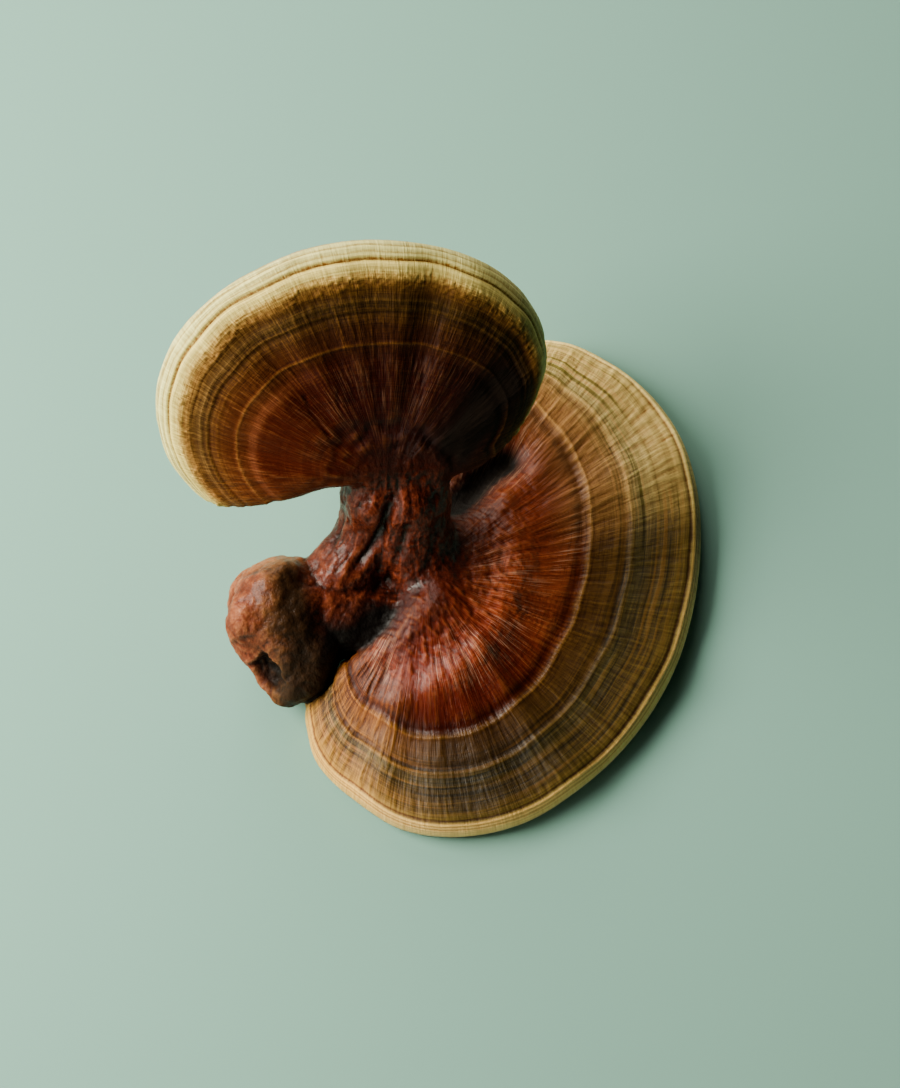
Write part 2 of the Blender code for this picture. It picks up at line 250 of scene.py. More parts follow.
def set_places(piece, places):
    """Move a piece's vertices to places in millimetres of the plan."""
    flat = ((places - MIDDLE) * MM).astype(np.float32)
    piece.data.vertices.foreach_set("co", flat.ravel())
    piece.data.update()


def drawn_over(name, rings):
    """A sphere whose parallels are moved onto a run of rings."""
    rows, columns = len(rings), len(rings[0])
    bpy.ops.object.select_all(action="DESELECT")
    bpy.ops.mesh.primitive_uv_sphere_add(segments=columns, ring_count=rows + 1, radius=MM)
    piece = bpy.context.object
    piece.name = name
    round_places = places_of(piece) - MIDDLE
    row = np.arccos(np.clip(-round_places[:, 2], -1, 1)) * (rows + 1) / math.pi
    column = np.arctan2(round_places[:, 1], round_places[:, 0]) * columns / (2 * math.pi)
    poles = [np.repeat(ring.mean(axis=0)[None], columns, axis=0) for ring in (rings[0], rings[-1])]
    stacked = np.stack([poles[0], *rings, poles[1]])
    set_places(piece, stacked[np.rint(row).astype(int), np.rint(column).astype(int) % columns])
    bpy.ops.object.mode_set(mode="EDIT")
    bpy.ops.mesh.select_all(action="SELECT")
    bpy.ops.mesh.normals_make_consistent(inside=False)
    bpy.ops.object.mode_set(mode="OBJECT")
    return piece


lower_outline = cap_outline(LOWER_CENTRE, LOWER_MARGIN, LOWER_SINUS)
lower_flesh = drawn_over(
    "lower_flesh", cap_rings(lower_outline, np.array(LOWER_HUB), lower_full_height, np.array(LOWER_CENTRE)))


# Flesh of the upper cap
# A fan of the same flesh that leans back over the lower cap. It is drawn flat, in its own
# plane, with the neck at the origin, and then leaned and rolled into place.
UPPER_PLACE = (-12.1, 14.5, 33.9)
UPPER_LEAN = 49.4                         # degrees, back from level
UPPER_ROLL = 11.5                         # degrees, down towards the right
UPPER_CENTRE = (-2.0, 3.0)
UPPER_HUB = (-5.0, 17.0)
UPPER_MARGIN = (
    (16, 33.0, 0.74), (28, 41.3, 0.72), (40, 46.6, 0.69), (53, 49.6, 0.66), (68, 51.1, 0.635),
    (88, 52.0, 0.625), (105, 53.3, 0.63), (122, 54.2, 0.645), (138, 55.0, 0.655),
    (150, 53.7, 0.666), (160, 51.0, 0.67), (170, 47.3, 0.67), (178, 43.4, 0.67), (186, 39.0, 0.67),
)
UPPER_SINUS = (
    (-37.0, -1.9), (-32.0, -2.1), (-26.5, -1.4), (-21.0, -0.3), (-15.5, 1.2), (-9.5, 1.4),
    (-3.0, 0.8), (4.0, 0.4), (10.0, 0.4), (15.5, 1.4), (21.0, 3.8), (25.6, 7.4),
)
UPPER_HEIGHTS = (
    (0.0, 13.6), (0.2, 13.4), (0.4, 13.0), (0.63, 12.0), (0.76, 10.9), (0.86, 9.6),
    (0.94, 8.1), (1.0, 6.2),
)

lean = Matrix.Rotation(math.radians(UPPER_LEAN), 3, "X")
roll = Matrix.Rotation(math.radians(UPPER_ROLL), 3, "Y")
upper_axes = np.array(lean @ roll)        # its columns are the fan's own axes


def upper_full_height(places):
    """Height of the upper cap's top over its own plane before its edge is rounded."""
    share, bearing = growth_share(places, UPPER_CENTRE, UPPER_MARGIN)
    return smooth_lookup(share, UPPER_HEIGHTS) + folded(share, bearing)


upper_outline = cap_outline(UPPER_CENTRE, UPPER_MARGIN, UPPER_SINUS)
upper_rings = cap_rings(upper_outline, np.array(UPPER_HUB), upper_full_height, np.array(UPPER_CENTRE))
upper_flesh = drawn_over("upper_flesh", [ring @ upper_axes.T + UPPER_PLACE for ring in upper_rings])


# Flesh of the stem
# A torn knob, a stipe that leaves it to the right, and three strands that rise from the
# stipe as the neck of the upper cap. Each limb is a run of round sections.
KNOB = (                                  # x, y, z, radius
    (-35.5, -30.8, 7.0, 2.2), (-34.7, -28.0, 8.2, 6.4), (-33.5, -22.9, 10.2, 9.8),
    (-33.6, -16.9, 12.0, 12.3), (-34.8, -11.4, 13.2, 13.8), (-34.5, -6.0, 13.6, 12.2),
    (-34.0, -1.8, 13.8, 8.2), (-33.9, 0.4, 13.8, 3.2),
)
STIPE = (
    (-34.0, -9.0, 13.6, 6.0), (-28.5, -9.6, 13.8, 9.6), (-22.9, -10.6, 13.0, 9.8),
    (-17.6, -11.0, 11.8, 9.2), (-12.5, -9.6, 10.8, 8.4), (-9.1, -8.3, 10.0, 5.5),
)
LEFT_STRAND = (
    (-29.0, -6.5, 14.6, 6.4), (-23.0, -3.6, 18.2, 7.4), (-17.6, 1.4, 22.8, 6.9),
    (-15.3, 5.9, 29.5, 6.6), (-14.8, 7.6, 35.6, 6.7), (-14.6, 12.2, 41.6, 4.8),
)
RIGHT_STRAND = (
    (-2.8, -5.1, 10.0, 5.5), (-4.2, -2.0, 15.5, 8.4), (-6.6, 2.2, 22.4, 9.0),
    (-6.6, 6.2, 29.4, 8.4), (-6.0, 8.6, 35.0, 8.0), (-5.4, 13.6, 40.6, 5.0),
)
BACK_STRAND = (
    (-13.0, -4.0, 9.6, 6.0), (-12.0, 1.6, 15.0, 9.0), (-12.0, 5.6, 22.4, 9.2),
    (-11.4, 9.2, 29.4, 8.6), (-11.0, 12.4, 35.4, 8.2), (-10.6, 16.0, 39.4, 4.8),
)
LUMPS = ((2, 0.7, 0.9, 0.050), (3, 2.6, 1.7, 0.035), (5, 1.1, 2.9, 0.022))
KNOB_DRIFT = 4.75                         # how far the lumps wind from end to end of the knob
LIMB_DRIFT = 2.5
DIMPLE = (-46.6, -11.6, 19.0)             # a small pit on the left of the knob
PRESSED = (                               # dents in the knob: place, radius, depth
    (DIMPLE, 3.2, 1.5),
    ((-39.4, -25.1, 15.0), 4.4, 3.2),
    ((-35.5, -29.4, 12.0), 3.0, 1.6),
)
CREVICE = 1.1                             # room between the knob and the near lobe
LIMB_RINGS = 60
LIMB_SIDES = 72


def limb_rings(sections, drift, swell_by=0.0):
    """Rings round a limb: its sections joined smoothly, and lumpy as it grew."""
    stations = curve_through(sections, LIMB_RINGS, closed=False)
    spine = stations[:, :3]
    heading = np.gradient(spine, axis=0)
    heading /= np.linalg.norm(heading, axis=1)[:, None]
    across = np.cross(heading[0], (0, 0, 1))
    turn = np.linspace(0, 2 * math.pi, LIMB_SIDES, endpoint=False)
    rings = []
    for index, centre in enumerate(spine):
        across -= heading[index] * (across @ heading[index])
        across /= np.linalg.norm(across)
        up = np.cross(across, heading[index])
        far = drift * index / (LIMB_RINGS - 1)
        swell = 1 + sum(size * np.sin(waves * turn + phase + far * wind)
                        for waves, phase, wind, size in LUMPS)
        radius = (stations[index, 3] * swell + swell_by)[:, None]
        ring = centre + radius * (np.cos(turn)[:, None] * across + np.sin(turn)[:, None] * up)
        for place, reach, depth in PRESSED:
            pull = depth * bump(np.linalg.norm(ring - place, axis=1), 0, reach)
            inward = (centre - ring) / np.linalg.norm(centre - ring, axis=1)[:, None]
            ring = ring + inward * pull[:, None]
        ring[:, 2] = np.maximum(ring[:, 2], 0)
        rings.append(ring)
    return rings


def cut_clear(piece, cutter):
    """Cut a solid out of a piece."""
    step = piece.modifiers.new("cut", "BOOLEAN")
    step.operation = "DIFFERENCE"
    step.solver = "EXACT"
    step.object = cutter
    bpy.context.view_layer.objects.active = piece
    bpy.ops.object.modifier_apply(modifier=step.name)
    bpy.data.objects.remove(cutter)


knob_flesh = drawn_over("knob_flesh", limb_rings(KNOB, KNOB_DRIFT))
limbs = [drawn_over("limb_flesh", limb_rings(sections, LIMB_DRIFT))
         for sections in (STIPE, LEFT_STRAND, RIGHT_STRAND, BACK_STRAND)]
cut_clear(lower_flesh, drawn_over("knob_room", limb_rings(KNOB, KNOB_DRIFT, CREVICE)))
cut_clear(lower_flesh, drawn_over("stipe_room", limb_rings(STIPE[:4], LIMB_DRIFT, CREVICE)))


# Grown together
# The mushroom grew as one body. Its flesh is joined, remeshed as one skin, and melted where
# limb and cap meet, so that no crease is left there.
SKIN_GRAIN = 0.4                          # size of the skin's faces
MELT_REACH = 2.6                          # how far from a low joint the skin is softened
TRUMPET_REACH = 7.5                       # and where the neck spreads out into the two caps
MELT_STEPS = 340
MELT_LEVELS = 20                          # strengths of the melting that are told apart


def copy_of(pieces, name):
    """One object with the flesh of several."""
    bpy.ops.object.select_all(action="DESELECT")
    for piece in pieces:
        twin = piece.copy()
        twin.data = piece.data.copy()
        bpy.context.scene.collection.objects.link(twin)
        twin.select_set(True)
        bpy.context.view_layer.objects.active = twin
    if len(pieces) > 1:
        bpy.ops.object.join()
    bpy.context.object.name = name
    return bpy.context.object


def one_skin(piece):
    """Remesh a piece as one skin, without what lies inside."""
    step = piece.modifiers.new("skin", "REMESH")
    step.mode = "VOXEL"
    step.voxel_size = SKIN_GRAIN * MM
    bpy.context.view_layer.objects.active = piece
    bpy.ops.object.modifier_apply(modifier=step.name)


def depth_outside(places, flesh):
    """Distance from each place to a piece of flesh."""
    tree = BVHTree.FromObject(flesh, bpy.context.evaluated_depsgraph_get())
    found = (tree.find_nearest(Vector(place))[3] for place in (places - MIDDLE) * MM)
    return np.fromiter(found, float, len(places)) / MM


mushroom = copy_of([lower_flesh, upper_flesh, knob_flesh, *limbs], "mushroom")
one_skin(mushroom)
stem_flesh = copy_of([knob_flesh, *limbs], "stem_flesh")
one_skin(stem_flesh)
places = places_of(mushroom)
from_lower, from_upper, from_stem = (
    depth_outside(places, flesh) for flesh in (lower_flesh, upper_flesh, stem_flesh))
spread = soft_step(places[:, 2], 15, 20) * soft_step(places[:, 0], -20, -14)
reach = MELT_REACH + (TRUMPET_REACH - MELT_REACH) * spread
at_joint = bump(from_stem + np.minimum(from_lower, from_upper), 0, reach) * (0.3 + 0.7 * spread)
group = mushroom.vertex_groups.new(name="joint")
levels = np.rint(at_joint * MELT_LEVELS).astype(int)
for level in range(1, MELT_LEVELS + 1):
    group.add(np.flatnonzero(levels == level).tolist(), level / MELT_LEVELS, "REPLACE")
melt = mushroom.modifiers.new("melt", "SMOOTH")
melt.factor = 0.5
melt.iterations = MELT_STEPS
melt.vertex_group = group.name
bpy.context.view_layer.objects.active = mushroom
bpy.ops.object.modifier_apply(modifier=melt.name)
for piece in (lower_flesh, upper_flesh, knob_flesh, stem_flesh, *limbs):
    bpy.data.objects.remove(piece)


# Skin of the mushroom
# The lacquered crust wrinkled as it dried: growth ledges run along the rims, hair-fine folds
# run out from the growth centres, and the stem is lumpy and fibrous. This relief is pushed
# into the one skin before it is parted, so it runs through where the pieces meet.
LEDGE_WAVER = 0.006                       # how far a growth line strays, as a share of the cap
LOWER_LEDGES = (                          # growth share, width and height of its growth lines
    (0.632, 0.006, 0.20), (0.600, 0.022, -0.45), (0.772, 0.006, 0.14), (0.750, 0.016, -0.25),
)
LOWER_RIM_LINES = (                       # and of those that run round its rim
    (0.988, 0.018, 0.30), (0.968, 0.006, -0.24), (0.998, 0.005, -0.20), (1.020, 0.005, -0.18),
    (1.040, 0.005, -0.14),
)
UPPER_LEDGES = (
    (0.634, 0.007, 0.18), (0.585, 0.030, -0.30), (0.775, 0.007, 0.15), (0.760, 0.010, -0.12),
    (0.806, 0.007, 0.10), (0.728, 0.006, 0.08), (0.935, 0.018, 0.35), (0.998, 0.008, 0.28),
)
UPPER_RIM_LINES = ((0.978, 0.008, -0.70), (1.028, 0.008, 0.24), (1.052, 0.007, 0.18))
STEM_BLEND = (4.5, 8.0)                   # the stem's folds reach this far over the lower and upper cap
RIM_WRAP = 0.06                           # growth share gained where the skin turns under
BROW = (                                  # the fold where the neck spreads into the fan, in its plane
    (-10.0, 14.5), (-2.4, 16.2), (3.0, 13.4), (9.6, 9.2), (11.8, 3.0), (10.6, -3.0))
BROW_CENTRE = (-1.0, 2.0)                 # the fold is a low ridge inside this circle
BROW_RADIUS = 12.5                        # and a groove outside it
CRACK_DEPTH = 0.18
CRACK_WIDTH = 0.45
CRACKS = (                                # radial splits near the neck, in the fan's own plane
    ((-9.6, 16.0), (-12.0, 21.5), (-12.6, 25.5)),
    ((-14.5, 15.5), (-18.0, 21.0), (-19.6, 25.0)),
    ((4.0, 18.0), (5.6, 24.0), (6.0, 28.0)),
)
FURROWS = (                               # deep folds between the strands of the neck: depth, width, line
    (1.9, 1.2, ((-10.5, 5.1, 40.6), (-11.8, 1.9, 38.1), (-13.6, -0.3, 32.0), (-16.3, -2.9, 28.4),
                (-19.5, -5.1, 25.0))),
    (0.7, 0.9, ((-7.5, 0.4, 36.0), (-9.1, -2.9, 29.7), (-11.6, -5.6, 21.6), (-14.6, -8.4, 19.6))),
    (0.5, 0.8, ((-20.8, 6.2, 37.3), (-21.9, 3.3, 29.0), (-24.2, -1.3, 24.4), (-28.6, -4.2, 22.4))),
    (0.4, 1.0, ((-1.8, 4.9, 39.3), (-1.4, 0.7, 32.3), (-2.6, -4.0, 26.5), (-6.0, -6.6, 21.6))),
)
NECK_FOOT = np.array((-12.0, -3.0, 12.0))  # the neck's pleats run along the line from here
NECK_HEAD = np.array((-9.5, 12.5, 42.0))  # to here
STIPE_MIDDLE = (-10.0, 13.0)              # y and z of the line that the stipe's pleats run along
WOUND = (-38.0, -25.4, 13.4)              # where the knob was torn from its wood
WOUND_REACH = 4.2
WOUND_DEPTH = 2.6
DIMPLE_REACH = 2.0
DIMPLE_DEPTH = 1.1
FLOW_AXES = np.array(((0.80, 0.60), (-0.60, 0.80)))  # the neck's folds fan out over the lower cap
FLOW_GRAIN = np.array((6.0, 0.9, 1.0))    # and are this long, wide and high
RECESS_SHADE_REACH = 4.4                         # how far the painted shade of the hollow behind the neck reaches


def hills(places, seed):
    """Smooth random hills about one unit across, between about -1 and 1 high."""
    chance = np.random.default_rng(seed)
    order = np.tile(chance.permutation(256), 2)
    slopes = chance.normal(size=(256, 3))
    slopes /= np.linalg.norm(slopes, axis=1)[:, None]
    cell = np.floor(places).astype(int)
    share = places - cell
    blend = share ** 3 * (share * (share * 6 - 15) + 10)
    total = np.zeros(len(places))
    for corner in np.ndindex(2, 2, 2):
        x, y, z = ((cell + corner) & 255).T
        slope = slopes[order[order[order[x] + y] + z]]
        weight = np.prod(np.where(corner, blend, 1 - blend), axis=1)
        total += weight * ((share - corner) * slope).sum(axis=1)
    return 1.6 * total


def around(bearing, turns, along):
    """Places for hills that repeat by bearing and stretch along the growth."""
    return np.column_stack((turns * np.cos(bearing), turns * np.sin(bearing), along))


def pleats(bearing, turns, along, seed):
    """Rounded pleats with sharp valleys between them, 0 to about 1 high."""
    strayed = bearing + 0.35 / turns * hills(around(bearing, 0.4 * turns, 3 * along), seed + 1)
    return np.abs(hills(around(strayed, turns, along), seed)) * 1.5


def growth_lines(values, lines):
    """Height of growth lines, each a ledge or a groove at a growth share."""
    return sum(rise * bump(values, at, width) for at, width, rise in lines)


def eased(values, links, steps):
    """Values averaged with those of their neighbours, a few times."""
    first, second = links
    count = np.bincount(first, minlength=len(values)) + np.bincount(second, minlength=len(values))
    for step in range(steps):
        near = [np.bincount(first, column[second], len(values))
                + np.bincount(second, column[first], len(values)) for column in values.T]
        values = 0.4 * values + 0.6 * np.stack(near, axis=1) / count[:, None]
    return values


def lower_relief(share, rim, bearing, places):
    """Height of the fine forms of the lower cap's crust, in millimetres."""
    wavered = share + LEDGE_WAVER * hills(around(bearing, 5, share), 11)
    height = growth_lines(wavered, LOWER_LEDGES) + growth_lines(rim, LOWER_RIM_LINES)
    lines = soft_step(share, 0.78, 0.82) * (1 - soft_step(share, 0.93, 0.95))
    height += 0.10 * lines * hills(around(bearing, 2.5, 55 * wavered), 12)
    body = soft_step(share, 0.16, 0.45) * (1 - 0.85 * soft_step(rim, 0.93, 0.99))
    patches = 0.55 + 0.45 * hills(around(bearing, 1.6, 4 * share), 13)
    near_lobe = soft_step(-np.cos(bearing - math.radians(35)), 0.55, 0.95)
    height += (0.16 + 0.46 * near_lobe) * body * patches * pleats(bearing, 17, 4 * share, 14)
    height += 0.17 * body * pleats(bearing, 36, 6 * share, 15)
    height += 0.13 * body * pleats(bearing, 70, 8 * share, 19) * soft_step(share, 0.30, 0.5)
    middle = 1 - soft_step(share, 0.30, 0.55)
    height += middle * soft_step(share, 0.10, 0.25) * 0.30 * pleats(bearing, 9, 5 * share, 16)
    height += middle * (0.22 * hills(places / 2.4, 17) + 0.14 * hills(places / 1.1, 18))
    flow = np.column_stack((places[:, :2] @ FLOW_AXES, places[:, 2] / 4)) / FLOW_GRAIN
    return height + 0.34 * middle * np.abs(hills(flow + 0.5 * hills(places / 4, 30)[:, None], 20))


def upper_relief(share, rim, bearing, places):
    """Height of the fine forms of the upper cap's crust, in millimetres."""
    wavered = share + LEDGE_WAVER * hills(around(bearing, 5, share), 21)
    height = growth_lines(wavered, UPPER_LEDGES) + growth_lines(rim, UPPER_RIM_LINES)
    crumpled = soft_step(wavered, 0.835, 0.865) * (1 - soft_step(wavered, 0.905, 0.93))
    crumples = pleats(bearing, 30, 60 * share, 22) * (0.7 + 0.8 * hills(places / 5, 23))
    height += crumpled * (0.34 + 0.34 * crumples + 0.10 * hills(places / 0.9, 28))
    body = soft_step(share, 0.12, 0.40) * (1 - soft_step(share, 0.80, 0.90))
    height += 0.09 * body * pleats(bearing, 19, 4 * share, 24)
    height += 0.12 * body * pleats(bearing, 40, 6 * share, 25) * soft_step(share, 0.25, 0.5)
    height += 0.10 * body * pleats(bearing, 75, 9 * share, 29) * soft_step(share, 0.30, 0.6)
    middle = (1 - soft_step(share, 0.22, 0.42)) * soft_step(share, 0.08, 0.20)
    return height + middle * (0.2 * pleats(bearing, 9, 5 * share, 26) + 0.30 * hills(places / 2.4, 27))


def stem_relief(places):
    """Height of the lumps, strands and fibres of the stem, in millimetres."""
    climbed = (places[:, 2:] - NECK_FOOT[2]) / (NECK_HEAD[2] - NECK_FOOT[2])
    on_axis = NECK_FOOT + (NECK_HEAD - NECK_FOOT) * climbed
    turn = np.arctan2(places[:, 1] - on_axis[:, 1], places[:, 0] - on_axis[:, 0])
    up = places[:, 2]
    neck = 0.28 * pleats(turn, 3.4, up / 11, 31) + 0.20 * pleats(turn, 9, up / 7, 32)
    neck += 0.14 * pleats(turn, 22, up / 5, 44)
    neck += 0.18 * hills(places / 2.0, 33) + 0.12 * hills(places / 0.9, 45)
    for depth, width, line in FURROWS:
        neck -= depth * bump(from_curve(places, line, 30), 0, width)
    turn = np.arctan2(up - STIPE_MIDDLE[1], places[:, 1] - STIPE_MIDDLE[0])
    stipe = 0.50 * pleats(turn, 5, places[:, 0] / 8, 34) + 0.25 * pleats(turn, 12, places[:, 0] / 4, 35)
    stipe += 0.20 * hills(places / 1.4, 36)
    knob = 0.95 * hills(places / 6.5, 37) + 0.34 * np.abs(hills(places / 3.4, 38))
    knob += 0.13 * hills(places / 1.7, 39) + 0.07 * hills(places / 0.8, 40)
    on_neck = soft_step(up, 15, 23) * soft_step(places[:, 0], -30, -24)
    on_knob = 1 - soft_step(places[:, 0], -28, -22)
    relief = knob * on_knob + (1 - on_knob) * (neck * on_neck + stipe * (1 - on_neck))
    from_wound = np.linalg.norm(places - WOUND, axis=1) * (1 + 0.25 * hills(places / 2.5, 41))
    torn = np.exp(-(from_wound / WOUND_REACH) ** 4)
    relief -= WOUND_DEPTH * torn * (1 + 0.4 * hills(places / 1.3, 42))
    relief += 0.7 * bump(from_wound, 1.15 * WOUND_REACH, 0.8) * np.abs(hills(places / 1.5, 43))
    return relief - DIMPLE_DEPTH * bump(np.linalg.norm(places - DIMPLE, axis=1), 0, DIMPLE_REACH)


links = np.empty(2 * len(mushroom.data.edges), np.int32)
mushroom.data.edges.foreach_get("vertices", links)
links = links.reshape(-1, 2).T
places = places_of(mushroom)
outward = eased(rows_of(mushroom.data.vertices, "normal").astype(float), links, 6)
outward /= np.linalg.norm(outward, axis=1)[:, None]
kin = np.argmin((from_lower, from_upper, from_stem), axis=0)  # the limb that a vertex belongs to
is_lower, is_upper, is_stem = (kin == which for which in range(3))
near_stem = 1 - soft_step(from_stem, 0.2, np.where(is_upper, STEM_BLEND[1], STEM_BLEND[0]))
near_stem *= np.where(is_upper, 1, soft_step(places[:, 0], -21, -16))
stem_weight = np.where(is_stem, 1, near_stem)

lower_share, lower_bearing = growth_share(places[:, :2], LOWER_CENTRE, LOWER_MARGIN)
in_fan = ((places - UPPER_PLACE) @ upper_axes)[:, :2]
upper_share, upper_bearing = growth_share(in_fan, UPPER_CENTRE, UPPER_MARGIN)
facing = np.where(is_upper, outward @ upper_axes[:, 2], outward[:, 2])
share = np.where(is_upper, upper_share, lower_share)
bearing = np.where(is_upper, upper_bearing, lower_bearing)
rim = share + RIM_WRAP * (1 - facing)
lacquered = np.where(is_upper, 0.55 * (1 - soft_step(upper_share, 0.15, 0.45)), 0)
on_top = soft_step(facing, -0.35 - lacquered, 0.15 - lacquered)

from_brow = from_curve(in_fan, BROW, 40) + 0.8 * hills(places / 2.5, 53)
below_brow = soft_step(np.linalg.norm(in_fan - BROW_CENTRE, axis=1) - BROW_RADIUS, -2, 2)
brow = 0.15 * bump(from_brow, 0, 1.5) * (1 - below_brow) - 0.75 * bump(from_brow, 1.0, 2.6) * below_brow
brow *= is_upper * on_top * (0.75 + 0.6 * hills(places / 4, 54))
cracks = np.zeros(len(places))
for line in CRACKS:
    cracks += CRACK_DEPTH * bump(from_curve(in_fan, line, 20), 0, CRACK_WIDTH)
cracks *= is_upper * on_top

height = np.where(is_lower, lower_relief(lower_share, rim, lower_bearing, places),
                  upper_relief(upper_share, rim, upper_bearing, places))
pores = 0.10 * hills(around(bearing, 3, 22 * share), 51) + 0.05 * hills(places / 1.1, 52)
height = height * on_top + pores * (1 - on_top)
relief = height * (1 - stem_weight) + stem_relief(places) * stem_weight
relief += (brow - cracks) * (1 - 0.5 * stem_weight)
places = places + outward * relief[:, None]
places[:, 2] = np.maximum(places[:, 2], 0)
set_places(mushroom, places)

low, high = places.min(axis=0), places.max(axis=0)
cad_low, cad_high = (np.array(corner) / MM + MIDDLE for corner in cad_box)
set_places(mushroom, cad_low + (places - low) * (cad_high - cad_low) / (high - low))
mushroom.data.shade_smooth()

# What the finishes read: the growth lines, which part of the skin this is, and its hollows, which the
# finishes darken as painted shade.
places = places_of(mushroom)
outward = rows_of(mushroom.data.vertices, "normal").astype(float)
# How deep each place lies in a hollow of the skin, for painted shade.
fine_hollow = ((eased(places, links, 5) - places) * outward).sum(axis=1)
broad_hollow = ((eased(places, links, 40) - places) * outward).sum(axis=1)
hollow = np.clip(0.5 + 2.2 * fine_hollow + 0.55 * broad_hollow, 0, 1)
on_knob = 1 - soft_step(places[:, 0] + 0.25 * (places[:, 1] + 12), -31, -26)
# The hollow behind the neck, which the finishes paint dark as shade.
in_recess_shade = bump(from_curve(places[:, :2], RECESS, 20), 0, RECESS_SHADE_REACH) * (places[:, 2] > 6)
in_wound = np.exp(-(np.linalg.norm(places - WOUND, axis=1) / (1.05 * WOUND_REACH)) ** 4)


def keep_on_skin(name, *columns):
    """Store three values on each of the skin's vertices, for its finishes to read."""
    values = np.stack(columns, axis=1).astype(np.float32).ravel()
    mushroom.data.attributes.new(name, "FLOAT_VECTOR", "POINT").data.foreach_set("vector", values)


keep_on_skin("growth", np.cos(bearing), np.sin(bearing), rim)
keep_on_skin("skin_part", 1 - on_top, stem_weight, hollow)
keep_on_skin("stem_part", on_knob, in_wound, in_recess_shade)
keep_on_skin("facing_out", *outward.T)


# Parted at the forks
# The body is kept as its three main limbs, the lower cap, the upper cap and the stem, each
# closed where it was parted from the next.
FORK_DEPTH = 1.2                          # the cut at a fork starts this far under the skin
PIECE_FACES = 190000                      # triangles a piece may have; the flat underside gives way


def parted(name, which):
    """The part of the mushroom that belongs to one limb, closed at its fork."""
    bpy.ops.object.select_all(action="DESELECT")
    piece = copy_of([mushroom], name)
    corners = np.empty(len(piece.data.loops), np.int32)
    piece.data.loops.foreach_get("vertex_index", corners)
    limb_of_face = kin[corners].reshape(-1, 4).max(axis=1)
    piece.data.polygons.foreach_set("select", limb_of_face != which)
    bpy.ops.object.mode_set(mode="EDIT")
    bpy.ops.mesh.select_mode(type="FACE")
    bpy.ops.mesh.delete(type="FACE")
    # The open edge is turned in under the skin and filled.
    bpy.ops.mesh.select_mode(type="EDGE")
    bpy.ops.mesh.select_non_manifold()
    bpy.ops.mesh.extrude_edges_move()
    bpy.ops.object.mode_set(mode="OBJECT")
    places = places_of(piece)
    turned_in = np.empty(len(places), bool)
    piece.data.vertices.foreach_get("select", turned_in)
    directions = rows_of(piece.data.attributes["facing_out"].data, "vector")
    set_places(piece, places - FORK_DEPTH * turned_in[:, None] * directions)
    bpy.ops.object.mode_set(mode="EDIT")
    bpy.ops.mesh.select_all(action="SELECT")
    bpy.ops.mesh.fill_holes(sides=0)
    bpy.ops.mesh.select_mode(type="FACE")
    bpy.ops.mesh.select_all(action="DESELECT")
    bpy.ops.mesh.select_face_by_sides(number=8, type="GREATER")
    bpy.ops.mesh.poke()
    bpy.ops.object.mode_set(mode="OBJECT")
    faces = 2 * len(piece.data.polygons)
    if faces > PIECE_FACES:
        group = piece.vertex_groups.new(name="underside")
        below = rows_of(piece.data.attributes["skin_part"].data, "vector")[:, 0]
        group.add(np.flatnonzero(below > 0.9).tolist(), 1.0, "REPLACE")
        thin = piece.modifiers.new("thin", "DECIMATE")
        thin.vertex_group = group.name
        thin.ratio = PIECE_FACES / faces
        bpy.ops.object.modifier_apply(modifier=thin.name)
        piece.vertex_groups.clear()
    # It is shaded as the whole skin was, so that no line shows at a fork.
    directions = rows_of(piece.data.attributes["facing_out"].data, "vector")
    directions[np.linalg.norm(directions, axis=1) < 0.5] = (0, 0, 1)
    piece.data.normals_split_custom_set_from_vertices(directions.tolist())
    piece.data.attributes.remove(piece.data.attributes["facing_out"])
    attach(piece, "root")
    return piece


lower_piece = parted("lower_cap_flesh", 0)
upper_piece = parted("upper_cap_flesh", 1)
stem_piece = parted("stem_flesh", 2)
bpy.data.objects.remove(mushroom)
for piece, node in ((lower_piece, "lower_cap"), (upper_piece, "upper_cap"), (stem_piece, "stem")):
    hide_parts(node)


# Crust
# The lacquer is thick and wet over the red middle, thin over the tan zones, and missing at
# the pale young rims. Below the rims is the cream pore surface.
RIM_SPAN = 1.12                           # the growth share that a ramp of zones ends at


class Value:
    """A value of a finish. Sums on it add the Math nodes that work it out."""

    def __init__(self, finish, socket):
        self.finish = finish
        self.socket = socket

    def worked(self, operation, first, second, clamp=False):
        """The result of a Math node."""
        settings = {"operation": operation, "use_clamp": clamp}
        node = self.finish.add("ShaderNodeMath", settings, {0: first, 1: second})
        return Value(self.finish, node.outputs[0])

    def __add__(self, other):
        return self.worked("ADD", self, other)

    def __sub__(self, other):
        return self.worked("SUBTRACT", self, other)

    def __rsub__(self, other):
        return self.worked("SUBTRACT", other, self)

    def __mul__(self, other):
        return self.worked("MULTIPLY", self, other)

    __radd__ = __add__
    __rmul__ = __mul__

    def size(self):
        """The value without its sign."""
        return self.worked("ABSOLUTE", self, 0.0)

    def clamped(self):
        """The value kept between 0 and 1."""
        return self.worked("ADD", self, 0.0, clamp=True)


